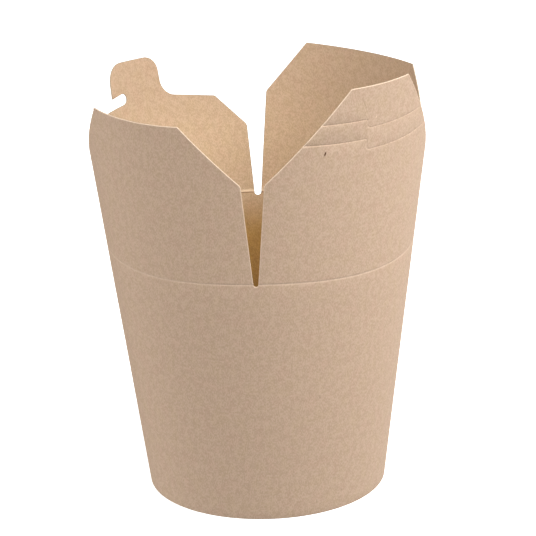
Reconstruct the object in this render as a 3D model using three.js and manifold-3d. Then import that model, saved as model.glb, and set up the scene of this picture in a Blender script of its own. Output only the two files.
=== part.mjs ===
// Round-based noodle takeaway box, standing open. One blank of kraft board is wrapped into a
// cone whose upper part is four flaps with slits between them, and a skirted disc closes its foot.
// Millimetres, +Z up. The origin is on the axis, in the plane that the box stands on, and the
// front slit faces -Y. An azimuth is in degrees, from -Y towards +X.

import * as THREE from 'three';
import { TessellateModifier } from 'three/addons/modifiers/TessellateModifier.js';
import { mergeVertices } from 'three/addons/utils/BufferGeometryUtils.js';
import Module from 'manifold-3d';

// ---------------------------------------------------------------- driving dimensions

const BOARD = 0.5; // thickness of the board
const FOOT_RADIUS = 46.2; // outside, at the foot
const CREASE_HEIGHT = 98.5; // where the flaps fold
const WALL_ANGLE = THREE.MathUtils.degToRad(7.5); // between the wall and the axis

const CREASE_WIDTH = 1.2; // groove outside and bead inside, at the crease
const CREASE_DEPTH = 0.15;

const FOOT_ROUND = 0.5; // rounding where the board turns in under the foot
const CLEARANCE = 0.3; // between the side wall and the base
const HEM_TOP = 6; // the turned-in hem holds the base's skirt
const BASE_TOP = 7.5; // inside floor of the box

// Each slit is a V with a round bottom: low and high are its half widths at the crease and at
// SLIT_HIGH, and the bottom lies by drop under the crease. The front and back ones stand a
// little to the left of the box's middle.
const SLITS = [
  { azimuth: -1.2, low: 0.9, high: 4.1, drop: 0.9 },
  { azimuth: 90, low: 1.3, high: 4.3, drop: 0.9 },
  { azimuth: 181.5, low: 1.35, high: 4.4, drop: 1.5 },
  { azimuth: 270, low: 1.3, high: 4.3, drop: 0.9 },
];
const SLIT_HIGH = 38; // above the crease

// The flaps, each after the slit of its place in the list. A flap is drawn flat: u runs along
// the crease from its middle, v up from the crease. left and right are the ends of its top
// edge, and from them chamfers run down to the shoulders, at the heights leftLow and rightLow.
const FLAPS = [
  { azimuth: 45, top: 74.2, left: -16.9, right: 12.3, leftLow: 40.7, rightLow: 35.5 },
  { azimuth: 135, top: 59.6, left: -23.8, right: 32.3, leftLow: 34.5, rightLow: 40.6 },
  { azimuth: 225, top: 39.1, left: -32.2, right: 33, leftLow: 27.6, rightLow: 25 },
  { azimuth: 315, top: 62, left: -20, right: 24, leftLow: 35, rightLow: 40.3 },
];
const [LOCK_FLAP, , TAB_FLAP] = FLAPS;
const SHOULDER_ROUND = 3.6;

// The tab flap's edge rises to a locking tab: a neck, a head and a hook notch beside it.
const TAB = {
  neck: -9.8,
  neckLow: 43.7,
  neckRound: 7.5,
  headLeft: -8.7,
  headLeftTop: 59.8,
  headLeftRound: 6.5,
  head: 18.2,
  headTop: 60.9,
  headRound: 7.5,
  notchHigh: 48.2,
  notchEnd: 9.5,
  notchLow: 43.6,
  lip: 22,
  lipHeight: 42.9,
};

// The lock flap takes the tab between two scored lines, each with one step down.
const LOCK_LINES = [
  { leftHeight: 61.4, rightHeight: 58.1 },
  { leftHeight: 53.9, rightHeight: 49.6 },
];
const LOCK_LEFT = -40; // the lines run out over the left chamfer
const LOCK_STEP = -8.6; // where they step down
const LOCK_RIGHT = 25;
const SCORE_WIDTH = 0.6;
const SCORE_DEPTH = 0.15;

const SEGMENTS = 96; // around the axis
const CURVE_STEPS = 3; // half the number of edges along each rounded corner
const TESSELLATE_ROUNDS = 12; // enough to reach those lengths
const CUTTER_REACH = 2; // a cutter stands this far out of each face of the wall
const CUTTER_STEP = 12; // longest edge on a cutter, so that it bends with the wall
const SCORE_STEP = 4; // the same on a scoring cutter, which has to keep its depth
const BLANK_TOP = 80; // the wall before its flaps are cut, measured as v
const CUTTER_TOP = 88; // above all of the wall
const SIDE_OVERLAP = 2; // neighbouring cutters reach into each other by this
const FOOT_SHARE = 0.9; // how round a slit's bottom and the notch's end are, 1 being a half circle

const OUTSIDE_COLOR = 0xbfa084;
const INSIDE_COLOR = 0xb89468;

// ---------------------------------------------------------------- the cone and its flat blank

const SIN = Math.sin(WALL_ANGLE);
const COS = Math.cos(WALL_ANGLE);
const TAN = Math.tan(WALL_ANGLE);
const CREASE_RADIUS = FOOT_RADIUS + CREASE_HEIGHT * TAN;
const BLANK_RADIUS = CREASE_RADIUS / SIN; // radius of the crease in the flat blank

const outerRadius = (z) => FOOT_RADIUS + z * TAN;
const innerRadius = (z) => outerRadius(z) - BOARD / COS;

// A point (u, v) of a drawing centred on an azimuth, in the plane of the blank. The blank's
// centre is the cone's apex.
function onBlank(azimuth, u, v) {
  const turn = THREE.MathUtils.degToRad(azimuth) * SIN;
  return new THREE.Vector2(u, BLANK_RADIUS + v).rotateAround(new THREE.Vector2(), -turn);
}

// Rolls a solid drawn on the blank up into the cone. z is then the height above the outer face.
function roll(geometry) {
  const position = geometry.attributes.position;
  for (let i = 0; i < position.count; i++) {
    const reach = Math.hypot(position.getX(i), position.getY(i));
    const angle = Math.atan2(position.getX(i), position.getY(i)) / SIN;
    const out = position.getZ(i);
    const radius = reach * SIN + out * COS;
    const height = CREASE_HEIGHT + (reach - BLANK_RADIUS) * COS - out * SIN;
    position.setXYZ(i, radius * Math.sin(angle), -radius * Math.cos(angle), height);
  }
  return geometry;
}

// A closed outline through corners { point, round }, each rounded by a tangent arc.
function roundedShape(corners) {
  const shape = new THREE.Shape();
  corners.forEach(({ point, round = 0 }, i) => {
    const before = corners[(i + corners.length - 1) % corners.length].point;
    const after = corners[(i + 1) % corners.length].point;
    const toBefore = before.clone().sub(point).normalize();
    const toAfter = after.clone().sub(point).normalize();
    const half = Math.acos(toBefore.dot(toAfter)) / 2;
    const setback = round / Math.tan(half);
    const start = point.clone().addScaledVector(toBefore, setback);
    if (i === 0) shape.moveTo(start.x, start.y);
    else shape.lineTo(start.x, start.y);
    if (round > 0) {
      const middle = toBefore.clone().add(toAfter).setLength(round / Math.sin(half)).add(point);
      const end = point.clone().addScaledVector(toAfter, setback);
      const from = start.clone().sub(middle).angle();
      const to = end.clone().sub(middle).angle();
      shape.absarc(middle.x, middle.y, round, from, to, toBefore.cross(toAfter) > 0);
    }
  });
  return shape;
}

// ---------------------------------------------------------------- solids

const wasm = await Module();
wasm.setup();

function toManifold(geometry) {
  const bare = geometry.clone();
  bare.deleteAttribute('normal');
  bare.deleteAttribute('uv');
  const merged = mergeVertices(bare, 1e-4);
  return new wasm.Manifold(new wasm.Mesh({
    numProp: 3,
    vertProperties: new Float32Array(merged.attributes.position.array),
    triVerts: new Uint32Array(merged.index.array),
  }));
}

function toGeometry(manifold) {
  const mesh = manifold.getMesh();
  const geometry = new THREE.BufferGeometry();
  geometry.setAttribute('position', new THREE.BufferAttribute(mesh.vertProperties, 3));
  geometry.setIndex(new THREE.BufferAttribute(mesh.triVerts, 1));
  geometry.computeVertexNormals();
  return geometry;
}

// A cutter for the cone: an outline on the blank, from a height over the outer face outwards.
function cutter(corners, low = -BOARD - CUTTER_REACH, step = CUTTER_STEP) {
  const flat = new THREE.ExtrudeGeometry(roundedShape(corners), {
    depth: CUTTER_REACH - low,
    bevelEnabled: false,
    curveSegments: CURVE_STEPS,
  });
  flat.translate(0, 0, low);
  return toManifold(roll(new TessellateModifier(step, TESSELLATE_ROUNDS).modify(flat)));
}

// A profile of [radius, height] pairs turned about the axis.
function turned(profile) {
  const points = profile.map(([radius, height]) => new THREE.Vector2(radius, height));
  return new THREE.LatheGeometry(points, SEGMENTS).rotateX(Math.PI / 2);
}

// ---------------------------------------------------------------- cutters for the flaps

// A point on the edge of a slit, on its side -1 or 1, at a height above the crease.
function onSlit({ azimuth, low, high }, side, height) {
  const half = THREE.MathUtils.mapLinear(height, 0, SLIT_HIGH, low, high);
  return onBlank(azimuth, side * half, height);
}

// A slit with the two chamfers over it, between the flaps on its left and right.
function slitCutter(slit, { azimuth: leftAzimuth, ...left }, { azimuth: rightAzimuth, ...right }) {
  const foot = (side) => ({ point: onSlit(slit, side, -slit.drop), round: slit.low * FOOT_SHARE });
  return cutter([
    { point: onBlank(leftAzimuth, left.right, CUTTER_TOP) },
    { point: onBlank(leftAzimuth, left.right, left.top) },
    { point: onSlit(slit, -1, left.rightLow), round: SHOULDER_ROUND },
    foot(-1),
    foot(1),
    { point: onSlit(slit, 1, right.leftLow), round: SHOULDER_ROUND },
    { point: onBlank(rightAzimuth, right.left, right.top) },
    { point: onBlank(rightAzimuth, right.left, CUTTER_TOP) },
  ]);
}

// What is cut away over a flap: down to a straight edge, or to one with the points given.
function topCutter({ azimuth, top, left, right }, edge = []) {
  const points = [
    [left - SIDE_OVERLAP, CUTTER_TOP],
    [left - SIDE_OVERLAP, top],
    ...edge,
    [right + SIDE_OVERLAP, top],
    [right + SIDE_OVERLAP, CUTTER_TOP],
  ];
  return cutter(points.map(([u, v, round]) => ({ point: onBlank(azimuth, u, v), round })));
}

// The edge of the tab flap: neck, head, hook notch and lip.
function tabEdge({ left, right, top }) {
  const notchRound = ((TAB.notchHigh - TAB.notchLow) / 2) * FOOT_SHARE;
  return [
    [left, top],
    [TAB.neck, TAB.neckLow, TAB.neckRound],
    [TAB.headLeft, TAB.headLeftTop, TAB.headLeftRound],
    [TAB.head, TAB.headTop, TAB.headRound],
    [TAB.head, TAB.notchHigh],
    [TAB.notchEnd, TAB.notchHigh, notchRound],
    [TAB.notchEnd, TAB.notchLow, notchRound],
    [TAB.lip, TAB.lipHeight],
    [right, top],
  ];
}

// A shallow scored line across the lock flap, with its step.
function lockLine({ leftHeight, rightHeight }) {
  const half = SCORE_WIDTH / 2;
  const points = [
    [LOCK_LEFT, leftHeight - half],
    [LOCK_STEP - half, leftHeight - half],
    [LOCK_STEP - half, rightHeight - half],
    [LOCK_RIGHT, rightHeight - half],
    [LOCK_RIGHT, rightHeight + half],
    [LOCK_STEP + half, rightHeight + half],
    [LOCK_STEP + half, leftHeight + half],
    [LOCK_LEFT, leftHeight + half],
  ];
  const corners = points.map(([u, v]) => ({ point: onBlank(LOCK_FLAP.azimuth, u, v) }));
  return cutter(corners, -SCORE_DEPTH, SCORE_STEP);
}

// ---------------------------------------------------------------- the two pieces

// The wall's section: up the outside, down the inside, and round the hem at the foot.
function wallProfile() {
  const top = CREASE_HEIGHT + BLANK_TOP * COS;
  const low = CREASE_HEIGHT - CREASE_WIDTH / 2;
  const high = CREASE_HEIGHT + CREASE_WIDTH / 2;
  const hemOuter = innerRadius(HEM_TOP) - 2 * CLEARANCE - BOARD;
  const hemInner = hemOuter - BOARD;
  const footInner = innerRadius(0) - 2 * CLEARANCE - 2 * BOARD;
  return [
    [footInner, 0],
    [FOOT_RADIUS - FOOT_ROUND, 0],
    [outerRadius(FOOT_ROUND), FOOT_ROUND],
    [outerRadius(low), low],
    [outerRadius(CREASE_HEIGHT) - CREASE_DEPTH, CREASE_HEIGHT],
    [outerRadius(high), high],
    [outerRadius(top), top],
    [innerRadius(top), top],
    [innerRadius(high), high],
    [innerRadius(CREASE_HEIGHT) - CREASE_DEPTH, CREASE_HEIGHT],
    [innerRadius(low), low],
    [innerRadius(BOARD), BOARD],
    [footInner + BOARD, BOARD],
    [hemOuter, HEM_TOP],
    [hemInner, HEM_TOP],
    [footInner, 0],
  ];
}

function sidewall() {
  let solid = toManifold(turned(wallProfile()));
  SLITS.forEach((slit, i) => {
    const before = FLAPS[(i + FLAPS.length - 1) % FLAPS.length];
    const left = { ...before, azimuth: i === 0 ? before.azimuth - 360 : before.azimuth };
    solid = solid.subtract(slitCutter(slit, left, FLAPS[i]));
  });
  for (const flap of FLAPS) {
    solid = solid.subtract(topCutter(flap, flap === TAB_FLAP ? tabEdge(flap) : []));
  }
  for (const line of LOCK_LINES) {
    solid = solid.subtract(lockLine(line));
  }
  return toGeometry(solid);
}

// The base: a disc whose skirt stands in the channel between the wall and its hem.
function base() {
  const skirtOuter = (z) => innerRadius(z) - CLEARANCE;
  const skirtInner = (z) => skirtOuter(z) - BOARD;
  const skirtLow = BOARD + CLEARANCE;
  const underside = BASE_TOP - BOARD;
  return turned([
    [0, underside],
    [skirtInner(underside), underside],
    [skirtInner(skirtLow), skirtLow],
    [skirtOuter(skirtLow), skirtLow],
    [skirtOuter(underside), underside],
    [skirtOuter(BASE_TOP) - BOARD, BASE_TOP],
    [0, BASE_TOP],
  ]);
}

function board(name, color, geometry) {
  const material = new THREE.MeshStandardMaterial({ color, roughness: 0.85, metalness: 0 });
  const mesh = new THREE.Mesh(geometry, material);
  mesh.name = name;
  return mesh;
}

const box = new THREE.Group();
box.add(board('sidewall', OUTSIDE_COLOR, sidewall()));
box.add(board('base', INSIDE_COLOR, base()));

export default box;
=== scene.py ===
"""Noodle takeaway box: an open box of kraft board on a round foot, with four flaps and a locking tab.

The side wall is made as the real one is: a flat blank is drawn, its corners rounded and its creases
scored, and it is then rolled up into a cone whose ends overlap in a glued seam. All lengths are in
metres, but what is written down for the blank's drawing is in millimetres: u runs along the crease
of the flat blank and v up from it. An azimuth is in degrees, from the front (-Y) towards +X.
"""

from functools import partial
from math import atan2, cos, hypot, pi, radians, sin, tan

import bmesh
import bpy
from mathutils import Matrix, Quaternion, Vector, noise


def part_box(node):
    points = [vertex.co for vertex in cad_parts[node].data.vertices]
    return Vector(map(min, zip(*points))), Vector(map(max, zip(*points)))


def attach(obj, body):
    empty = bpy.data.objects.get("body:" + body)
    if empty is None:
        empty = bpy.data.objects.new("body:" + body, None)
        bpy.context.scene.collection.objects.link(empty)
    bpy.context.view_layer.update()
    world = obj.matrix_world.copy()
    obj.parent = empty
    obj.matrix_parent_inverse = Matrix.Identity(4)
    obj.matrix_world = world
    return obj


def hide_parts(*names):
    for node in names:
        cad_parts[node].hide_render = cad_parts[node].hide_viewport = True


bl_info = {
    "name": "Noodle Takeaway Box",
    "version": (1, 0, 0),
    "blender": (4, 5, 0),
    "location": "3D View > Sidebar > Noodle Box",
    "description": "Builds an open noodle box of kraft board and a plain pale studio",
    "category": "Add Mesh",
}

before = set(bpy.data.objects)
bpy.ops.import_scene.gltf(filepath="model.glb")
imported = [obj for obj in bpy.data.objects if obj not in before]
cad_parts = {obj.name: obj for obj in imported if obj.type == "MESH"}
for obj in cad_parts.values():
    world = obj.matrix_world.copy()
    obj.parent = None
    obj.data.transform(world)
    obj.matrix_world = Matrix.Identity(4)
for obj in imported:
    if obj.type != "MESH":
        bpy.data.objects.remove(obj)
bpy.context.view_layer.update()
BASE_LOW, BASE_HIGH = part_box("base")

MM = 0.001

# ---------------------------------------------------------------- the blank's outline, in millimetres

# The slits between the flaps, from the glued seam on the right round to it again. Each is a V with
# a round bottom that lies by drop under the crease: low and high are its half widths at the crease
# and at SLIT_HIGH.
SLITS = [
    {"azimuth": 90, "low": 1.3, "high": 4.3, "drop": 0.9},
    {"azimuth": 181.5, "low": 1.35, "high": 4.4, "drop": 1.5},
    {"azimuth": 270, "low": 1.3, "high": 4.3, "drop": 0.9},
    {"azimuth": 358.8, "low": 0.9, "high": 4.1, "drop": 0.9},
    {"azimuth": 450, "low": 1.3, "high": 4.3, "drop": 0.9},
]
SLIT_HIGH = 38
SLIT_SHARE = 0.9  # how round the bottom of a slit is, 1 being a half circle

# The flaps after each slit: the ends of the top edge, and the heights of the shoulders beside it.
BACK_FLAP = {"azimuth": 135, "top": 59.6, "left": -23.8, "right": 32.6, "left_low": 34.5, "right_low": 40.8}
TAB_FLAP = {"azimuth": 225, "top": 39.1, "left": -32.5, "right": 33, "left_low": 27.6, "right_low": 25}
PLAIN_FLAP = {"azimuth": 315, "top": 62, "left": -20, "right": 24.3, "left_low": 35, "right_low": 40.3}
LOCK_FLAP = {"azimuth": 405, "top": 74.2, "left": -16.9, "right": 12.3, "left_low": 40.5, "right_low": 35.5}
FLAPS = [BACK_FLAP, TAB_FLAP, PLAIN_FLAP, LOCK_FLAP]
SHOULDER_ROUND = 2.2
POINT_ROUND = 0.4  # the ends of a top edge, which are cut almost sharp
RIM_WIDTH = 0.45  # how far in from a cut the outside is scuffed pale

# The locking tab on the tab flap: u, v and the rounding of each corner, from the neck to the lip.
TAB_EDGE = [
    (-9.8, 43.7, 7.5),
    (-8.7, 59.8, 6.5),
    (18.2, 60.9, 7.5),
    (18.2, 47.3, POINT_ROUND),
    (9.2, 48.5, 2.3),
    (9.2, 44, 2.1),
    (22, 42.9, 1),
]

# The lock lines scored across the lock flap: the heights v of their halves and the u at which one
# steps down to the other.
LOCK_LINES = [
    {"left": 61.3, "right": 57.95, "step": -8.6},
    {"left": 53.75, "right": 49.5, "step": -8.35},
]
LOCK_LEFT = -40  # both ends lie past the flap's edges
LOCK_RIGHT = 34
LOCK_CORNERS = ((0.8, 4), (1.7, 6))  # radius and steps of the step's upper and lower corner
LOCK_PALE_AND_HIGHLIGHT = 0.21  # how pale a lock line is made, beside the crease: partly pressed fibres, partly painted highlight
LOCK_FAINT = 0.2  # by which share less it is pressed in right of its step
LOCK_FAINT_FROM = (-12, 0)  # the u over which it gets fainter
LOCK_DEEP = 0.5  # by which share more it is pressed in at its left end
LOCK_DEEP_FROM = -5  # the u left of which it gets deeper
LOCK_MARGIN = 2  # room over and under the lock lines that their relief may take

# The crease runs a little higher at the slits than under the middle of a flap, higher in front than
# at the back and higher on the left than on the right.
CREASE_BOW = 0.55
CREASE_TILT = 0.37
CREASE_LEAN = 0.45
CREASE_MIDDLE = -0.17
CREASE_BLEND = (1, 5)  # how far above and below the board follows it wholly, and in part
BEAD_TOE = 0.3  # how far the bead inside reaches under the crease, in widths of the crease

# The glue strip that runs under the other end of the blank, and stops over the base.
STRIP_WIDTH = 10
STRIP_TOP_CHAMFER = 5
STRIP_BOTTOM = -86
STRIP_BOTTOM_CHAMFER = 4
STRIP_OVERHANG = 4  # how far the drawing goes on under the hem, where it is cut off straight
SEAM_GAP = 0.03
SEAM_RAMP = 4.5  # how far the board takes to come out from under the seam
SEAM_FADE = 8  # the same, up along the edge of the flap over the seam

# How finely the blank is cut into faces, still in millimetres.
GENERATORS = 192  # straight lines of the cone, around
SPARE = 2  # more of them, past each end of the blank
FULL_REACH = 150  # more than the blank reaches from the crease
ROW_STEP = 6  # between the rows of faces up the wall
ROWS_OVER = 13  # rows over the crease, enough for the highest flap
FINE_ROWS = (-1, -0.7, -0.4, -0.13, 0.13, 0.4, 0.7, 1)  # over a scored line, in half widths
BEAD_ROWS = (1.35, 1.7, 2)  # on over the bead inside the crease
STEP_WINDOW = (-3, 5)  # the stretch of u beside a lock line's step that gets a fine grid
STEP_LAPS = (3, -1)  # where the left half's rows end and the right half's start, from the step
STEP_COLUMNS = range(-3, 15)  # columns of that grid, in quarters of the line's width
STEP_ROWS = 9  # rows of it between the two halves
FOLD_STEPS = 5
CORNER_STEPS = 8
RIM_STEPS = 3
SNAP = 0.02  # closer cuts than this fall together
TOUCH = 1e-6  # metres between points that count as one
FLAT = 0.99  # how much the normal of a level face points up or down

OUTSIDE, LINING, CUT_EDGE = range(3)  # places of the materials on a piece of board


def smooth(value, low, high):
    """0 below low, 1 above high and an even curve between them."""
    t = min(max((value - low) / (high - low), 0), 1)
    return t * t * (3 - 2 * t)


# ---------------------------------------------------------------- sizes and colours


def length_property(name, description, default):
    return bpy.props.FloatProperty(
        name=name, description=description, default=default, unit="LENGTH", precision=5
    )


def colour_property(name, description, default):
    return bpy.props.FloatVectorProperty(
        name=name, description=description, default=default, subtype="COLOR", min=0, max=1
    )


class NoodleBoxSizes(bpy.types.PropertyGroup):
    """Sizes of the box."""

    board: length_property("Board", "Thickness of the board", 0.5 * MM)
    foot_radius: length_property("Foot Radius", "Outside radius at the foot", 46.2 * MM)
    crease_height: length_property("Crease Height", "Height at which the flaps fold", 98.5 * MM)
    wall_angle: bpy.props.FloatProperty(
        name="Wall Angle", description="Lean of the wall", default=radians(7.5), subtype="ANGLE"
    )
    hem_gap: length_property("Hem Gap", "Room for the base's skirt in the hem", 1.1 * MM)
    hem_height: length_property("Hem Height", "Height of the turned-in hem", 6 * MM)
    fold_radius: length_property("Fold Radius", "Outside radius of the folds at the foot", 0.55 * MM)
    crease_width: length_property("Crease Width", "Width of the scored crease", 1.3 * MM)
    crease_depth: length_property("Crease Depth", "Depth of the scored crease", 0.105 * MM)
    bead_height: length_property("Bead Height", "Height of the bead inside the crease", 0.36 * MM)
    score_width: length_property("Score Width", "Width of the lock lines", 0.9 * MM)
    score_depth: length_property("Score Depth", "Depth of the lock lines", 0.12 * MM)
    rim_round: length_property("Rim Rounding", "Rounding of the cut edges outside", 0.22 * MM)
    rim_round_inside: length_property("Inner Rim Rounding", "Rounding of the cut edges inside", 0.16 * MM)
    waviness: length_property("Waviness", "How far the board wanders in from a true cone", 0.12 * MM)
    wave_length: length_property("Wave Length", "Length of those waves", 34 * MM)


class NoodleBoxColours(bpy.types.PropertyGroup):
    """Colours of the board."""

    kraft_pale: colour_property("Kraft Pale", "Pale fibres of the outside", (0.673, 0.495, 0.362))
    kraft_deep: colour_property("Kraft Deep", "Deep fibres of the outside", (0.567, 0.397, 0.278))
    lining_pale: colour_property("Lining Pale", "Pale fibres of the lining", (0.655, 0.479, 0.314))
    lining_deep: colour_property("Lining Deep", "Deep fibres of the lining", (0.535, 0.374, 0.229))
    # Kraft Scored makes the outside paler where it is scored, partly pressed fibres and partly painted
    # highlight, and where its rim is scuffed.
    kraft_scuff_and_highlight: colour_property("Kraft Scored", "The outside where it is scored", (0.85, 0.67, 0.52))
    # The lining over the crease is made paler: a painted highlight along the bead inside it.
    lining_bead_highlight: colour_property("Lining Scored", "The lining over the crease", (0.92, 0.72, 0.5))
    # Lining Top and Lining Low are painted shade: the lining darker and a little cooler up on the flaps,
    # and darker and browner down in the cup.
    lining_top_shade: colour_property("Lining Top", "Tint of the lining up on the flaps", (0.88, 0.86, 0.88))
    lining_low_shade: colour_property("Lining Low", "Tint of the lining down in the cup", (0.84, 0.69, 0.33))
    cut_pale: colour_property("Cut Pale", "Pale parts of a cut edge", (0.82, 0.65, 0.49))
    cut_deep: colour_property("Cut Deep", "Deep parts of a cut edge", (0.71, 0.53, 0.38))
    # Cut Inside is painted shade: the cut edge dark grey on its side next to the lining.
    cut_lining_side_shade: colour_property("Cut Inside", "A cut edge next to the lining", (0.36, 0.3, 0.22))
    fleck: colour_property("Fleck", "Bark flecks in the board", (0.17, 0.1, 0.06))
    floor: colour_property("Floor", "The studio's floor", (0.93, 0.93, 0.93))


# ---------------------------------------------------------------- the cone and its flat blank


class Blank:
    """The flat blank of a conical wall, with its apex at the origin, and how it rolls up."""

    def __init__(self, sizes):
        self.sizes = sizes
        self.sin = sin(sizes.wall_angle)
        self.cos = cos(sizes.wall_angle)
        self.tan = tan(sizes.wall_angle)
        crease_radius = sizes.foot_radius + sizes.crease_height * self.tan
        self.radius = crease_radius / self.sin
        self.up = Vector((self.sin, self.cos))  # up the wall, in the plane of radius and height
        self.out = Vector((self.cos, -self.sin))  # straight out from it
        self.plan_folds()

    def plan_folds(self):
        """Where the wall turns in under the foot, along v, and where it turns up into the hem."""
        sizes = self.sizes
        across = (sizes.hem_gap + 2 * sizes.board) / self.cos
        first_turn = pi / 2 - sizes.wall_angle
        second_turn = pi / 2 + sizes.wall_angle
        first_setback = sizes.fold_radius * tan(first_turn / 2)
        second_setback = sizes.fold_radius * tan(second_turn / 2)
        foot = -sizes.crease_height / self.cos
        self.folds = [foot + first_setback]
        for stretch in (
            sizes.fold_radius * first_turn,
            across - first_setback - second_setback,
            sizes.fold_radius * second_turn,
            sizes.hem_height / self.cos - second_setback,
        ):
            self.folds.append(self.folds[-1] - stretch)

    def point(self, azimuth, u, v):
        """A point of the blank, in its plane, from a drawing centred on an azimuth, in millimetres."""
        turn = radians(azimuth) * self.sin
        along = Vector((cos(turn), -sin(turn), 0))
        up = Vector((sin(turn), cos(turn), 0))
        return along * (u * MM) + up * (self.radius + v * MM)

    def drawing(self, azimuth, point):
        """The opposite: (u, v) in millimetres of a point of the blank."""
        turn = radians(azimuth) * self.sin
        along = Vector((cos(turn), -sin(turn), 0))
        up = Vector((sin(turn), cos(turn), 0))
        return along.dot(point) / MM, (up.dot(point) - self.radius) / MM

    def straighten(self, point):
        """From the plane of the blank to a plane where the cone's lines are parallel: x is along the
        crease and y is v."""
        reach = hypot(point.x, point.y)
        return Vector((atan2(point.x, point.y) * self.radius, reach - self.radius, point.z))

    def bend(self, point):
        """The opposite of straighten()."""
        turn = point.x / self.radius
        reach = point.y + self.radius
        return Vector((reach * sin(turn), reach * cos(turn), point.z))

    def around(self, x):
        """How far round the cone a point of the straightened blank lies, in radians."""
        return x / self.radius / self.sin

    def section(self, v):
        """(radius, height) of the outside face at v, and the way that this face looks."""
        wall_end, flat_start, flat_end, hem_start, _ = self.folds
        sizes = self.sizes
        crease = Vector((self.radius * self.sin, sizes.crease_height))
        spot = crease + self.up * max(v, wall_end)
        facing = self.out.copy()
        if v >= wall_end:
            return spot, facing
        for start, end in ((wall_end, flat_start), (flat_end, hem_start)):
            turn = (start - max(v, end)) / sizes.fold_radius
            middle = spot - facing * sizes.fold_radius
            facing.rotate(Matrix.Rotation(-turn, 2))
            spot = middle + facing * sizes.fold_radius
            if v >= end:
                return spot, facing
            straight_end = flat_end if end == flat_start else v
            ahead = Vector((facing.y, -facing.x))
            spot = spot + ahead * (end - max(v, straight_end))
            if v >= straight_end:
                return spot, facing
        return spot, facing

    def roll(self, point, out):
        """A point of the straightened blank, rolled up, out metres over the outside face."""
        spot, facing = self.section(point.y)
        spot = spot + facing * out
        around = self.around(point.x)
        return Vector((spot.x * sin(around), -spot.x * cos(around), spot.y))


def slit_edge(blank, slit, side, v):
    """The point at v on one side of a slit: -1 is its left side and 1 its right."""
    half = slit["low"] + (slit["high"] - slit["low"]) * v / SLIT_HIGH
    return blank.point(slit["azimuth"], side * half, v)


def blank_outline(blank):
    """Corners (point, rounding) of the blank: along its top from the glue strip to the seam's
    outer end, and back along a straight line under the hem."""
    seam, last = SLITS[0], SLITS[-1]
    below = blank.folds[-1] / MM - STRIP_OVERHANG
    butt = seam["low"] + SEAM_GAP
    corners = [
        (blank.point(seam["azimuth"], butt, below), 0),
        (blank.point(seam["azimuth"], butt, STRIP_BOTTOM - STRIP_BOTTOM_CHAMFER), 0),
        (blank.point(seam["azimuth"], -STRIP_WIDTH, STRIP_BOTTOM), 0),
        (blank.point(seam["azimuth"], -STRIP_WIDTH, -seam["drop"] - STRIP_TOP_CHAMFER), 0),
        (blank.point(seam["azimuth"], STRIP_TOP_CHAMFER - STRIP_WIDTH, -seam["drop"]), 0),
        (slit_edge(blank, seam, 1, -seam["drop"]), seam["low"] * SLIT_SHARE),
    ]
    for before, flap, after in zip(SLITS, FLAPS, SLITS[1:]):
        edge = TAB_EDGE if flap is TAB_FLAP else []
        corners += [
            (slit_edge(blank, before, 1, flap["left_low"]), SHOULDER_ROUND),
            (blank.point(flap["azimuth"], flap["left"], flap["top"]), POINT_ROUND),
            *((blank.point(flap["azimuth"], u, v), rounding) for u, v, rounding in edge),
            (blank.point(flap["azimuth"], flap["right"], flap["top"]), POINT_ROUND),
            (slit_edge(blank, after, -1, flap["right_low"]), SHOULDER_ROUND),
            (slit_edge(blank, after, -1, -after["drop"]), after["low"] * SLIT_SHARE),
        ]
        if after is not last:
            corners.append((slit_edge(blank, after, 1, -after["drop"]), after["low"] * SLIT_SHARE))
    corners += [
        (blank.point(last["azimuth"], last["low"], -last["drop"]), 0),
        (blank.point(last["azimuth"], last["low"], below), 0),
    ]
    return corners


def cut(bm, faces, point, normal, clear=False):
    """Cuts these faces along a plane. With clear, what lies behind the plane goes. The edges and
    points come in a fixed order, so that each run makes the same mesh."""
    edges = dict.fromkeys(edge for face in faces for edge in face.edges)
    verts = dict.fromkeys(vert for face in faces for vert in face.verts)
    bmesh.ops.bisect_plane(
        bm,
        geom=[*verts, *edges, *faces],
        dist=SNAP * MM,
        plane_co=point,
        plane_no=Vector(normal).normalized(),
        clear_inner=clear,
    )


def draw_blank(bm, blank):
    """Draws the blank as one flat face, rounds its corners and marks its cut edge for the rim."""
    corners = blank_outline(blank)
    verts = [bm.verts.new(point) for point, _ in corners]
    bm.faces.new(verts)
    for i, (vert, (point, rounding)) in enumerate(zip(verts, corners)):
        if not rounding:
            continue
        before = corners[i - 1][0] - point
        after = corners[(i + 1) % len(corners)][0] - point
        bmesh.ops.bevel(
            bm,
            geom=[vert],
            affect="VERTICES",
            offset=rounding * MM / tan(before.angle(after) / 2),
            segments=CORNER_STEPS,
            profile=0.5,
            material=-1,
        )
    if next(iter(bm.faces)).normal.z < 0:
        bmesh.ops.reverse_faces(bm, faces=bm.faces)
    rim = bm.verts.layers.float.new("rim")
    bmesh.ops.inset_region(
        bm, faces=bm.faces[:], thickness=RIM_WIDTH * MM, use_boundary=True, use_even_offset=True
    )
    for vert in bm.verts:
        vert[rim] = vert.is_boundary


def cut_generators(bm, blank):
    """Cuts the blank along straight lines of the cone, from the end of the glue strip all round."""
    strip_share = STRIP_WIDTH * MM / (blank.sizes.foot_radius * 2 * pi)
    first = -int(strip_share * GENERATORS) - SPARE
    for number in range(first, GENERATORS + SPARE):
        turn = radians(SLITS[0]["azimuth"] + 360 * number / GENERATORS) * blank.sin
        cut(bm, bm.faces[:], (0, 0, 0), (cos(turn), -sin(turn), 0))


def flap_faces(bm, blank, azimuth, u_low, u_high, v_low, v_high):
    """The faces whose middles lie in a window of the drawing that is centred on an azimuth."""
    found = []
    for face in bm.faces:
        u, v = blank.drawing(azimuth, face.calc_center_median())
        if u_low < u < u_high and v_low < v < v_high:
            found.append(face)
    return found


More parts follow.
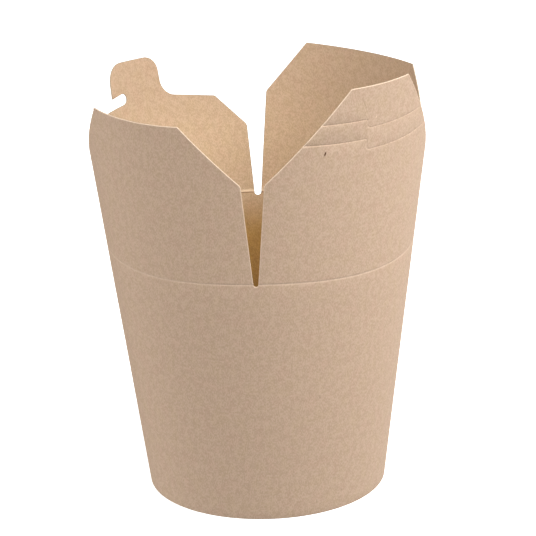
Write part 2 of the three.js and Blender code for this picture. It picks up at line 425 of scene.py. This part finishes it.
def cut_lock_lines(bm, blank):
    """Gives the lock flap rows and columns of faces along its lines, for their relief."""
    azimuth = LOCK_FLAP["azimuth"]
    half = blank.sizes.score_width / MM / 2
    up = blank.point(azimuth, 0, 1) - blank.point(azimuth, 0, 0)
    along = blank.point(azimuth, 1, 0) - blank.point(azimuth, 0, 0)
    for line in LOCK_LINES:
        left, right, middle = line["left"], line["right"], line["step"]
        left_end, right_start = (middle + lap for lap in STEP_LAPS)
        for height, low, high in ((left, LOCK_LEFT, left_end), (right, right_start, LOCK_RIGHT)):
            for share in FINE_ROWS:
                row = blank.point(azimuth, 0, height + share * half)
                cut(bm, flap_faces(bm, blank, azimuth, low, high, -FULL_REACH, FULL_REACH), row, up)
        low, high = (middle + edge for edge in STEP_WINDOW)
        window = (low, high, right - LOCK_MARGIN, left + LOCK_MARGIN)
        for number in STEP_COLUMNS:
            column = blank.point(azimuth, middle + number * half / 2, 0)
            cut(bm, flap_faces(bm, blank, azimuth, *window), column, along)
        drop = left - right - 2 * half
        for number in range(1, STEP_ROWS):
            row = blank.point(azimuth, 0, right + half + drop * number / STEP_ROWS)
            cut(bm, flap_faces(bm, blank, azimuth, *window), row, up)


def cut_rows(bm, blank):
    """Cuts the straightened blank across: at the crease, up the wall and through its folds."""
    wall_end, flat_start, flat_end, hem_start, hem_end = blank.folds
    lowest = int(wall_end / MM / ROW_STEP)
    rows = [share * blank.sizes.crease_width / 2 for share in FINE_ROWS + BEAD_ROWS]
    rows += [number * ROW_STEP * MM for number in range(lowest, ROWS_OVER + 1) if number != 0]
    for start, end in ((wall_end, flat_start), (flat_end, hem_start)):
        rows += [start + (end - start) * step / FOLD_STEPS for step in range(FOLD_STEPS + 1)]
    for row in rows:
        cut(bm, bm.faces[:], (0, row, 0), (0, 1, 0))
    cut(bm, bm.faces[:], (0, hem_end, 0), (0, 1, 0), clear=True)


def crease_shift(around):
    """How far the crease is above its mean height, along the wall, at an angle in radians."""
    bow = CREASE_BOW * cos(4 * around)
    return (CREASE_MIDDLE + CREASE_TILT * cos(around) - CREASE_LEAN * sin(around) + bow) * MM


def shift_crease(bm, blank):
    """Draws the rows at the crease to its real course, over straight rows above and below."""
    near, far = CREASE_BLEND
    for vert in bm.verts:
        share = 1 - smooth(abs(vert.co.y), near * MM, far * MM)
        vert.co.y += crease_shift(blank.around(vert.co.x)) * share


def lies_at(edge, height):
    """Whether both ends of an edge lie at a height."""
    return all(abs(vert.co.z - height) < TOUCH for vert in edge.verts)


def thicken(bm, sizes):
    """Gives the sheet its thickness, rounds its rim a little and sorts the faces by material."""
    grown = bmesh.ops.extrude_face_region(bm, geom=bm.faces[:], use_keep_orig=True)
    lower = [item for item in grown["geom"] if isinstance(item, bmesh.types.BMVert)]
    bmesh.ops.translate(bm, verts=lower, vec=(0, 0, -sizes.board))
    bmesh.ops.recalc_face_normals(bm, faces=bm.faces)
    for height, rounding in ((0, sizes.rim_round), (-sizes.board, sizes.rim_round_inside)):
        rim = [edge for edge in bm.edges if lies_at(edge, height) and edge.calc_face_angle(0) > pi / 4]
        bmesh.ops.bevel(
            bm,
            geom=rim,
            affect="EDGES",
            offset=rounding,
            segments=RIM_STEPS,
            profile=0.5,
            material=-1,
        )
    for face in bm.faces:
        face.smooth = True
        if face.normal.z > FLAT:
            face.material_index = OUTSIDE
        elif face.normal.z < -FLAT:
            face.material_index = LINING
        else:
            face.material_index = CUT_EDGE


def quarter_turn(steps):
    return [radians(90 * number / steps) for number in range(steps + 1)]


def lock_path(line):
    """The course of a lock line as points (u, v), with its two corners rounded."""
    (first, first_steps), (second, second_steps) = LOCK_CORNERS
    upper = Vector((line["step"] - first, line["left"] - first))
    lower = Vector((line["step"] + second, line["right"] + second))
    return [
        Vector((LOCK_LEFT, line["left"])),
        *(upper + first * Vector((sin(turn), cos(turn))) for turn in quarter_turn(first_steps)),
        *(lower - second * Vector((cos(turn), sin(turn))) for turn in quarter_turn(second_steps)),
        Vector((LOCK_RIGHT, line["right"])),
    ]


def distance_to_stretch(spot, start, end):
    along = end - start
    share = min(max((spot - start).dot(along) / along.length_squared, 0), 1)
    return (spot - start - along * share).length


def distance_to_path(spot, path):
    return min(distance_to_stretch(spot, start, end) for start, end in zip(path, path[1:]))


def groove(distance, width):
    """1 in the middle of a scored line and 0 from half its width outwards."""
    return 1 - smooth(abs(distance), 0, width / 2)


def bead(height, width):
    """The ridge inside the crease: it falls off gently above the crease and sharply below."""
    return smooth(height, -BEAD_TOE * width, 0) * (1 - smooth(height, 0, width))


class Relief:
    """What lifts the board off a true cone: scored lines, the glued seam and slight waves."""

    def __init__(self, blank):
        self.blank = blank
        self.paths = [lock_path(line) for line in LOCK_LINES]

    def scored(self, point):
        """How far the board is pressed in at a point of the straightened blank: by the crease on its
        outside, by the bead on its inside, both 0 to 1, and by the lock lines."""
        sizes = self.blank.sizes
        over = point.y - crease_shift(self.blank.around(point.x))
        inner = min(max(-point.z / sizes.board, 0), 1)
        crease = groove(over, sizes.crease_width) * (1 - inner)
        ridge = bead(over, sizes.crease_width) * inner
        u, v = self.blank.drawing(LOCK_FLAP["azimuth"], self.blank.bend(point))
        lowest = LOCK_LINES[-1]["right"] - LOCK_MARGIN
        highest = LOCK_LINES[0]["left"] + LOCK_MARGIN
        lock = 0
        if LOCK_LEFT < u < LOCK_RIGHT and lowest < v < highest:
            distance = min(distance_to_path(Vector((u, v)), path) for path in self.paths)
            lock = groove(distance * MM, sizes.score_width)
            fainter = LOCK_FAINT * smooth(u, *LOCK_FAINT_FROM)
            deeper = LOCK_DEEP * smooth(-u, -LOCK_DEEP_FROM, -LOCK_LEFT)
            lock *= 1 - fainter + deeper
        return crease, ridge, lock

    def seam(self, point):
        """How far the inner end of the blank lies under the outer one: the whole glue strip, and beside
        it the wall for a short way, except up on the flap and down at the foot."""
        edge = self.blank.point(SLITS[0]["azimuth"], SLITS[0]["low"], 0)
        x = self.blank.straighten(edge).x
        under = 1 - smooth(point.x, x, x + SEAM_RAMP * MM)
        if point.x > x - SEAM_GAP * MM:
            foot = (STRIP_BOTTOM - 2 * STRIP_BOTTOM_CHAMFER) * MM
            under *= 1 - smooth(point.y, 0, SEAM_FADE * MM)
            under *= smooth(point.y, foot, STRIP_BOTTOM * MM)
        return under * (self.blank.sizes.board + SEAM_GAP * MM)

    def wave(self, point):
        """How far the board wanders from the cone: always inwards, and not at the foot."""
        sizes = self.blank.sizes
        spot = self.blank.roll(point, 0)
        inwards = (noise.noise(spot / sizes.wave_length) - 1) / 2
        return inwards * sizes.waviness * smooth(spot.z, 0, sizes.wave_length)

    def out(self, point):
        """How far out from the cone the board lies in all."""
        crease, ridge, lock = self.scored(point)
        sizes = self.blank.sizes
        lines = crease * sizes.crease_depth + ridge * sizes.bead_height + lock * sizes.score_depth
        return self.wave(point) - lines - self.seam(point)


def roll_up(bm, blank):
    """Rolls the straightened blank into the cone. The flat blank, turned so that the front points up,
    stays as its UV map, and two layers say where the board is scored and how deep a point lies in it."""
    relief = Relief(blank)
    flat = bm.loops.layers.uv.new("blank")
    scored = bm.verts.layers.float.new("scored")
    across = bm.verts.layers.float.new("across")
    front = Matrix.Rotation(radians(360) * blank.sin, 3, "Z")
    for face in bm.faces:
        for loop in face.loops:
            loop[flat].uv = (front @ blank.bend(loop.vert.co)).xy
    for vert in bm.verts:
        point = vert.co.copy()
        crease, ridge, lock = relief.scored(point)
        # This layer drives the paler colour over the scored lines, partly painted highlight, and the
        # painted highlight on the bead inside.
        vert[scored] = max(crease, ridge, lock * LOCK_PALE_AND_HIGHLIGHT)
        vert[across] = -point.z / blank.sizes.board
        vert.co = blank.roll(point, point.z + relief.out(point))


def add_piece(name, bm, materials, node):
    """Turns a bmesh into a piece that stands for a CAD node, its place in its mesh."""
    for edge in bm.edges:
        faces = edge.link_faces
        if len({face.material_index for face in faces}) > 1:
            edge.smooth = False
    mesh = bpy.data.meshes.new(name)
    bm.to_mesh(mesh)
    bm.free()
    for material in materials:
        mesh.materials.append(material)
    piece = bpy.data.objects.new(name, mesh)
    bpy.context.scene.collection.objects.link(piece)
    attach(piece, "root")
    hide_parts(node)


# ---------------------------------------------------------------- materials


# The patterns of the paper, in features to the metre: across, along and through its grain.
FIBRE_SCALE = (2400.0, 1100.0, 2400.0)
CLOUD_SCALE = (520.0, 330.0, 520.0)
TINT_SCALE = (200.0, 140.0, 200.0)
FLECK_SCALE = (300.0, 120.0, 300.0)
FLECK_TURN = 0.3  # radians between the flecks and the grain
CORE_SCALE = (1500.0, 1500.0, 1500.0)

# A pair named RANGE or FADE holds the two values, of a pattern or a measure, between which what it
# is named for comes in. A pattern runs from 0 to 1 and is mostly near 0.5.
FIBRE_SHARE = 0.61  # how much of the pulp's pattern is fibres, the rest being clouds
PULP_RANGE = (0.41, 0.59)
PINK_RANGE = (0.48, 0.64)
PINK_TINT = (1.0, 0.955, 0.96)
WARM_RANGE = (0.52, 0.36)
WARM_TINT = (0.98, 0.98, 0.92)
TINT_SHARE = 0.5  # the most that a tint comes in
FLECK_RARITY = 0.86  # the share of the cells of the pattern that have no fleck
FLECK_FADE = (0.14, 0.04)  # of the distance from the middle of a cell, in cells
FLECK_SHARE = 0.22  # how much of a fleck shows through the paper
PAPER_ROUGHNESS = {"low": 0.3, "high": 0.7, "to_low": 0.72, "to_high": 0.88}
RIM_RANGE = (0.1, 0.9)
CORE_RANGE = (0.3, 0.7)
CORE_ROUGHNESS = {"low": 0.2, "high": 0.8, "to_low": 0.8, "to_high": 0.95}
SHADE_DEPTH_RANGE = (0.5, 0.85)  # how deep in the board the painted shade on a cut edge, next to the lining, starts
FIBRE_HEIGHT = 0.05 * MM

# Single marks on the outside of the lock flap, in millimetres from the apex of the blank: a bark
# fleck, a scratch and a rubbed streak.
MARKS = [
    {"at": (25.9, 503.55), "half": (1.0, 0.38), "turn": 70, "shade": (0.2, 0.13, 0.09), "share": 1.0},
    {"at": (48.0, 512.6), "half": (0.75, 0.2), "turn": 49, "shade": (1.5, 1.55, 1.6), "share": 0.6},
    {"at": (42.7, 519.3), "half": (3.8, 0.28), "turn": 108, "shade": (0.75, 0.72, 0.68), "share": 0.5},
]
MARK_FADE = (1.2, 0.5)  # of the distance from the middle of a mark, in its half sizes

# The heights over the crease, in millimetres, between which the lining's two painted shades come in.
TOP_SHADE = (22, 50)
LOW_SHADE = (2, -20)


def feed(tree, socket, value):
    """Sets a socket to a value, or links it when the value is another node's output."""
    if isinstance(value, bpy.types.NodeSocket):
        tree.links.new(value, socket)
    else:
        socket.default_value = value


def add_node(tree, kind, *first, settings=None, **named):
    """A shader node with its settings, its first inputs in their order and other inputs by name."""
    node = tree.nodes.new(kind)
    for name, value in (settings or {}).items():
        setattr(node, name, value)
    for socket, value in zip(node.inputs, first):
        feed(tree, socket, value)
    for name, value in named.items():
        feed(tree, node.inputs[name], value)
    return node


def maths(tree, operation, first, second=0.0, third=0.0):
    settings = {"operation": operation}
    return add_node(tree, "ShaderNodeMath", first, second, third, settings=settings).outputs[0]


def vector_maths(tree, operation, *vectors):
    """The number that an operation gives for its vectors."""
    settings = {"operation": operation}
    return add_node(tree, "ShaderNodeVectorMath", *vectors, settings=settings).outputs["Value"]


def ramp(tree, value, low, high, to_low=0.0, to_high=1.0):
    """value from low..high brought to to_low..to_high, and held there."""
    settings = {"interpolation_type": "SMOOTHSTEP"}
    limits = (low, high, to_low, to_high)
    return add_node(tree, "ShaderNodeMapRange", value, *limits, settings=settings).outputs[0]


def mix(tree, share, first, second, blend="MIX"):
    """Two colours mixed. The sockets 6 and 7 of the node and its output 2 are those for colours."""
    settings = {"data_type": "RGBA", "blend_type": blend}
    node = add_node(tree, "ShaderNodeMix", share, settings=settings)
    feed(tree, node.inputs[6], first)
    feed(tree, node.inputs[7], second)
    return node.outputs[2]


def stretched(tree, vector, scale, turn=0.0):
    """A vector turned and scaled, in features to the metre along each axis."""
    mapping = add_node(tree, "ShaderNodeMapping", Vector=vector, Scale=scale, Rotation=(0, 0, turn))
    return mapping.outputs[0]


def noise_value(tree, vector, detail, roughness):
    inputs = {"Vector": vector, "Scale": 1.0, "Detail": detail, "Roughness": roughness}
    return add_node(tree, "ShaderNodeTexNoise", **inputs).outputs[0]


def measure(tree, name):
    """A measure that the vertices of the board carry."""
    return add_node(tree, "ShaderNodeAttribute", settings={"attribute_name": name}).outputs["Fac"]


def raised(tree, height, strength):
    """The normal of a face whose fibres stand up by a height."""
    inputs = {"Height": height, "Strength": strength, "Distance": FIBRE_HEIGHT}
    return add_node(tree, "ShaderNodeBump", **inputs).outputs[0]


def new_group(name, inputs, outputs):
    """An empty node group, and the named sockets of its two end nodes."""
    tree = bpy.data.node_groups.new(name, "ShaderNodeTree")
    for socket, kind in inputs.items():
        tree.interface.new_socket(socket, in_out="INPUT", socket_type=kind)
    for socket, kind in outputs.items():
        tree.interface.new_socket(socket, in_out="OUTPUT", socket_type=kind)
    return tree, tree.nodes.new("NodeGroupInput").outputs, tree.nodes.new("NodeGroupOutput").inputs


def kraft_group():
    """Kraft paper: fine fibres along the grain, clouds of paler and deeper pulp and a few flecks."""
    tree, given, result = new_group(
        "Kraft Grain",
        {
            "Vector": "NodeSocketVector",
            "Pale": "NodeSocketColor",
            "Deep": "NodeSocketColor",
            "Fleck": "NodeSocketColor",
        },
        {"Color": "NodeSocketColor", "Roughness": "NodeSocketFloat", "Height": "NodeSocketFloat"},
    )
    place = given["Vector"]
    fibres = noise_value(tree, stretched(tree, place, FIBRE_SCALE), detail=2.0, roughness=0.6)
    clouds = noise_value(tree, stretched(tree, place, CLOUD_SCALE), detail=4.0, roughness=0.6)
    tints = noise_value(tree, stretched(tree, place, TINT_SCALE), detail=3.0, roughness=0.5)
    some_clouds = maths(tree, "MULTIPLY", clouds, 1 - FIBRE_SHARE)
    pulp = maths(tree, "MULTIPLY_ADD", fibres, FIBRE_SHARE, some_clouds)
    colour = mix(tree, ramp(tree, pulp, *PULP_RANGE), given["Deep"], given["Pale"])
    for tint, limits in ((PINK_TINT, PINK_RANGE), (WARM_TINT, WARM_RANGE)):
        share = ramp(tree, tints, *limits, 0.0, TINT_SHARE)
        colour = mix(tree, share, colour, (*tint, 1), "MULTIPLY")
    spots = stretched(tree, place, FLECK_SCALE, FLECK_TURN)
    cells = add_node(tree, "ShaderNodeTexVoronoi", Vector=spots, Scale=1.0, Randomness=1.0).outputs
    lot = add_node(tree, "ShaderNodeSeparateColor", cells["Color"]).outputs[0]
    rare = maths(tree, "GREATER_THAN", lot, FLECK_RARITY)
    near = ramp(tree, cells["Distance"], *FLECK_FADE, 0.0, FLECK_SHARE)
    fleck = maths(tree, "MULTIPLY", rare, near)
    feed(tree, result["Color"], mix(tree, fleck, colour, given["Fleck"]))
    feed(tree, result["Roughness"], ramp(tree, clouds, **PAPER_ROUGHNESS))
    feed(tree, result["Height"], pulp)
    return tree


def marked(tree, colour, place):
    """A colour with the single marks on it."""
    for mark in MARKS:
        mapping = add_node(
            tree,
            "ShaderNodeMapping",
            settings={"vector_type": "TEXTURE"},
            Vector=place,
            Location=(mark["at"][0] * MM, mark["at"][1] * MM, 0),
            Rotation=(0, 0, radians(mark["turn"])),
            Scale=(mark["half"][0] * MM, mark["half"][1] * MM, 1),
        )
        away = vector_maths(tree, "LENGTH", mapping.outputs[0])
        share = ramp(tree, away, *MARK_FADE, 0.0, mark["share"])
        colour = mix(tree, share, colour, (*mark["shade"], 1), "MULTIPLY")
    return colour


def painted_height_shade(tree, colour, place, tints):
    """A colour with painted shades that come in between two distances from the apex of the blank."""
    reach = vector_maths(tree, "LENGTH", place)
    for tint, start, end in tints:
        colour = mix(tree, ramp(tree, reach, start, end), colour, (*tint, 1), "MULTIPLY")
    return colour


def new_material(name):
    """A new material, its node tree and its shader."""
    material = bpy.data.materials.new(name)
    material.use_nodes = True
    return material, material.node_tree, material.node_tree.nodes["Principled BSDF"]


def paper_material(
    name, grain, pale, deep, fleck, scored, score_share, rim_share, fibre_relief, specular, finish
):
    """Kraft paper on a face of the board, with the marks or painted shade that finish gives it, paler where
    it is scuffed, and paler where it is scored: on the outside partly pressed fibres and partly painted
    highlight, on the lining a painted highlight on the bead."""
    material, tree, shader = new_material(name)
    place = add_node(tree, "ShaderNodeUVMap", settings={"uv_map": "blank"}).outputs[0]
    colours = {"Pale": (*pale, 1), "Deep": (*deep, 1), "Fleck": (*fleck, 1)}
    paper = add_node(tree, "ShaderNodeGroup", settings={"node_tree": grain}, Vector=place, **colours)
    # Paler where scored: on the outside partly pressed fibres and partly painted highlight; on the lining a
    # painted highlight on the bead.
    pressed_and_highlight = maths(tree, "MULTIPLY", measure(tree, "scored"), score_share)
    scuffed = maths(tree, "MULTIPLY", ramp(tree, measure(tree, "rim"), *RIM_RANGE), rim_share)
    colour = finish(tree, paper.outputs["Color"], place)
    for share in (pressed_and_highlight, scuffed):
        colour = mix(tree, share, colour, (*scored, 1))
    feed(tree, shader.inputs["Base Color"], colour)
    feed(tree, shader.inputs["Roughness"], paper.outputs["Roughness"])
    feed(tree, shader.inputs["Normal"], raised(tree, paper.outputs["Height"], fibre_relief))
    shader.inputs["Specular IOR Level"].default_value = specular
    return material


def cut_edge_material(pale, deep, inside):
    """The pale core of the board where it is cut, with painted shade along its side next to the lining."""
    material, tree, shader = new_material("Cut Board Edge")
    place = tree.nodes.new("ShaderNodeTexCoord").outputs["Object"]
    pulp = noise_value(tree, stretched(tree, place, CORE_SCALE), detail=3.0, roughness=0.55)
    core = mix(tree, ramp(tree, pulp, *CORE_RANGE), (*deep, 1), (*pale, 1))
    shaded_side = mix(tree, ramp(tree, measure(tree, "across"), *SHADE_DEPTH_RANGE), core, (*inside, 1))
    feed(tree, shader.inputs["Base Color"], shaded_side)
    feed(tree, shader.inputs["Roughness"], ramp(tree, pulp, **CORE_ROUGHNESS))
    feed(tree, shader.inputs["Normal"], raised(tree, pulp, strength=0.4))
    shader.inputs["Specular IOR Level"].default_value = 0.2
    return material


def board_materials(context):
    """Outside, lining and cut edge, made once."""
    made = [bpy.data.materials.get(name) for name in ("Kraft Outside", "Kraft Lining", "Cut Board Edge")]
    if None not in made:
        return made
    colours = context.scene.noodle_box_colours
    crease = Blank(context.scene.noodle_box_sizes).radius
    # Painted shade on the lining: up on the flaps and down in the cup.
    tints = [
        (colours.lining_top_shade, crease + TOP_SHADE[0] * MM, crease + TOP_SHADE[1] * MM),
        (colours.lining_low_shade, crease + LOW_SHADE[0] * MM, crease + LOW_SHADE[1] * MM),
    ]
    grain = kraft_group()
    outside = paper_material(
        "Kraft Outside",
        grain,
        pale=colours.kraft_pale,
        deep=colours.kraft_deep,
        fleck=colours.fleck,
        scored=colours.kraft_scuff_and_highlight,
        score_share=0.33,
        rim_share=0.8,
        fibre_relief=0.35,
        specular=0.25,
        finish=marked,
    )
    lining = paper_material(
        "Kraft Lining",
        grain,
        pale=colours.lining_pale,
        deep=colours.lining_deep,
        fleck=colours.fleck,
        # A painted highlight along the bead inside the crease.
        scored=colours.lining_bead_highlight,
        score_share=0.75,
        rim_share=0,
        fibre_relief=0.2,
        specular=0.5,
        finish=partial(painted_height_shade, tints=tints),
    )
    return [outside, lining, cut_edge_material(colours.cut_pale, colours.cut_deep, colours.cut_lining_side_shade)]


# ---------------------------------------------------------------- operators


class NOODLEBOX_OT_sidewall(bpy.types.Operator):
    """Cut, score and roll up the side wall with its flaps"""

    bl_idname = "noodlebox.sidewall"
    bl_label = "Side Wall"

    def execute(self, context):
        sizes = context.scene.noodle_box_sizes
        blank = Blank(sizes)
        bm = bmesh.new()
        draw_blank(bm, blank)
        cut_generators(bm, blank)
        cut_lock_lines(bm, blank)
        for vert in bm.verts:
            vert.co = blank.straighten(vert.co)
        cut_rows(bm, blank)
        shift_crease(bm, blank)
        thicken(bm, sizes)
        roll_up(bm, blank)
        bmesh.ops.recalc_face_normals(bm, faces=bm.faces)
        if any(len(edge.link_faces) != 2 for edge in bm.edges):
            raise RuntimeError("the side wall isn't closed")
        add_piece("kraft_sidewall", bm, board_materials(context), "sidewall")
        return {"FINISHED"}


class NOODLEBOX_OT_base(bpy.types.Operator):
    """Turn the base: a disc whose skirt stands in the hem of the side wall"""

    bl_idname = "noodlebox.base"
    bl_label = "Base"

    def execute(self, context):
        sizes = context.scene.noodle_box_sizes
        underside = BASE_HIGH.z - sizes.board
        reach = BASE_HIGH.x + (BASE_LOW.z - underside) * tan(sizes.wall_angle)
        section = [
            (0, underside),
            (BASE_HIGH.x - sizes.board, underside),
            (reach - sizes.board, BASE_LOW.z),
            (reach, BASE_LOW.z),
            (BASE_HIGH.x, underside),
            (BASE_HIGH.x - sizes.board, BASE_HIGH.z),
            (0, BASE_HIGH.z),
        ]
        bm = bmesh.new()
        verts = [bm.verts.new((radius, 0, height)) for radius, height in section]
        edges = [bm.edges.new(pair) for pair in zip(verts, verts[1:])]
        bmesh.ops.spin(
            bm,
            geom=verts + edges,
            cent=(0, 0, 0),
            axis=(0, 0, 1),
            angle=2 * pi,
            steps=GENERATORS,
            use_merge=True,
        )
        bmesh.ops.remove_doubles(bm, verts=bm.verts, dist=TOUCH)
        bmesh.ops.recalc_face_normals(bm, faces=bm.faces)
        flat = bm.loops.layers.uv.new("blank")
        for face in bm.faces:
            face.smooth = True
            face.material_index = LINING if face.normal.z > FLAT else OUTSIDE
            for loop in face.loops:
                loop[flat].uv = loop.vert.co.xy
        add_piece("kraft_base", bm, board_materials(context), "base")
        return {"FINISHED"}


# The camera looks from the front, a little above, through a long lens. Its focal length is in pixels
# of a render that is RENDER_WIDTH pixels wide.
CAMERA_AZIMUTH = radians(1.0)
CAMERA_OUT = 1.0455
CAMERA_HEIGHT = 0.4424
CAMERA_YAW = radians(0.137)
CAMERA_PITCH = radians(18.846)
CAMERA_ROLL = radians(-1.728)
CAMERA_REACH = 20
FOCAL_PIXELS = 2854.5
RENDER_WIDTH = 536
SENSOR = 36.0

# The light in the studio: wide soft glows, each with its azimuth and elevation in degrees, its
# sharpness (the higher, the narrower) and its strength.
GLOWS = [
    (-60, 42, 16, 2.95),
    (-20, 20, 16, 2.1),
    (-90, 0, 4, 1.3),
    (135, 0, 4, 1.8),
    (0, -90, 4, 0.8),
]

# A round soft lamp, turned towards the middle of the box.
LAMP_AZIMUTH = 57
LAMP_ELEVATION = 42
LAMP_DISTANCE = 1.4
LAMP_SIZE = 1.1
LAMP_POWER = 26.6
LAMP_AIM = Vector((0, 0, 0.1))

FLOOR_RADIUS = 4
FLOOR_GLOW = 0.8


def direction(azimuth, elevation):
    """The way from the box towards an azimuth and an elevation, in degrees."""
    turn, rise = radians(azimuth), radians(elevation)
    return Vector((sin(turn) * cos(rise), -cos(turn) * cos(rise), sin(rise)))


def add_camera(scene):
    data = bpy.data.cameras.new("Camera")
    data.sensor_width = SENSOR
    data.lens = FOCAL_PIXELS / RENDER_WIDTH * SENSOR
    data.clip_end = CAMERA_REACH
    camera = bpy.data.objects.new("Camera", data)
    scene.collection.objects.link(camera)
    x, y = CAMERA_OUT * sin(CAMERA_AZIMUTH), -CAMERA_OUT * cos(CAMERA_AZIMUTH)
    camera.location = (x, y, CAMERA_HEIGHT)
    heading = CAMERA_YAW - CAMERA_AZIMUTH
    level = cos(CAMERA_PITCH)
    ahead = Vector((sin(heading) * level, cos(heading) * level, -sin(CAMERA_PITCH)))
    camera.rotation_mode = "QUATERNION"
    camera.rotation_quaternion = ahead.to_track_quat("-Z", "Y") @ Quaternion((0, 0, 1), CAMERA_ROLL)
    scene.camera = camera


def add_lamp(scene):
    data = bpy.data.lights.new("key", "AREA")
    data.shape = "DISK"
    data.size = LAMP_SIZE
    data.energy = LAMP_POWER
    lamp = bpy.data.objects.new("key", data)
    scene.collection.objects.link(lamp)
    back = direction(LAMP_AZIMUTH, LAMP_ELEVATION)
    lamp.location = LAMP_AIM + back * LAMP_DISTANCE
    lamp.rotation_mode = "QUATERNION"
    lamp.rotation_quaternion = (-back).to_track_quat("-Z", "Y")


def add_sky(scene):
    """The studio around the box: the sum of its glows, seen as plain white behind the box."""
    world = bpy.data.worlds.new("Studio")
    scene.world = world
    world.use_nodes = True
    tree = world.node_tree
    ray = tree.nodes.new("ShaderNodeTexCoord").outputs["Generated"]
    strength = 0.0
    for azimuth, elevation, sharpness, power in GLOWS:
        facing = vector_maths(tree, "DOT_PRODUCT", ray, direction(azimuth, elevation))
        glow = maths(tree, "POWER", maths(tree, "MAXIMUM", facing, 0.0), sharpness)
        strength = maths(tree, "MULTIPLY_ADD", glow, power, strength)
    seen = tree.nodes.new("ShaderNodeLightPath").outputs["Is Camera Ray"]
    shader = tree.nodes["Background"]
    feed(tree, shader.inputs["Strength"], maths(tree, "MAXIMUM", strength, seen))
    shader.inputs["Color"].default_value = (1, 1, 1, 1)


def add_floor(scene):
    """A pale floor that glows by itself, and neither lights nor shades the box."""
    bm = bmesh.new()
    bmesh.ops.create_circle(bm, cap_ends=True, radius=FLOOR_RADIUS, segments=64)
    mesh = bpy.data.meshes.new("floor")
    bm.to_mesh(mesh)
    bm.free()
    material, _, shader = new_material("Pale Floor")
    shader.inputs["Base Color"].default_value = (*scene.noodle_box_colours.floor, 1)
    shader.inputs["Roughness"].default_value = 0.9
    shader.inputs["Emission Color"].default_value = (1, 1, 1, 1)
    shader.inputs["Emission Strength"].default_value = FLOOR_GLOW
    mesh.materials.append(material)
    floor = bpy.data.objects.new("floor", mesh)
    scene.collection.objects.link(floor)
    floor.visible_diffuse = False
    floor.visible_glossy = False
    floor.visible_shadow = False


class NOODLEBOX_OT_stage(bpy.types.Operator):
    """Set up the pale floor, the soft light and the camera"""

    bl_idname = "noodlebox.stage"
    bl_label = "Stage"

    def execute(self, context):
        scene = context.scene
        scene.view_settings.view_transform = "Standard"
        add_sky(scene)
        add_floor(scene)
        add_lamp(scene)
        add_camera(scene)
        return {"FINISHED"}


class NOODLEBOX_PT_panel(bpy.types.Panel):
    """Sizes, colours and pieces of the noodle box"""

    bl_label = "Noodle Box"
    bl_idname = "NOODLEBOX_PT_panel"
    bl_space_type = "VIEW_3D"
    bl_region_type = "UI"
    bl_category = "Noodle Box"

    def draw(self, context):
        for group in (context.scene.noodle_box_sizes, context.scene.noodle_box_colours):
            box = self.layout.box()
            for name in group.__annotations__:
                box.prop(group, name)
        for operator in OPERATORS:
            self.layout.operator(operator.bl_idname)


GROUPS = {"noodle_box_sizes": NoodleBoxSizes, "noodle_box_colours": NoodleBoxColours}
OPERATORS = [NOODLEBOX_OT_stage, NOODLEBOX_OT_sidewall, NOODLEBOX_OT_base]


def register():
    for kind in (*GROUPS.values(), *OPERATORS, NOODLEBOX_PT_panel):
        bpy.utils.register_class(kind)
    for name, kind in GROUPS.items():
        setattr(bpy.types.Scene, name, bpy.props.PointerProperty(type=kind))


def unregister():
    for name in GROUPS:
        delattr(bpy.types.Scene, name)
    for kind in reversed((*GROUPS.values(), *OPERATORS, NOODLEBOX_PT_panel)):
        bpy.utils.unregister_class(kind)


def main():
    register()
    bpy.ops.noodlebox.stage()
    bpy.ops.noodlebox.sidewall()
    bpy.ops.noodlebox.base()


if __name__ == "__main__":
    main()
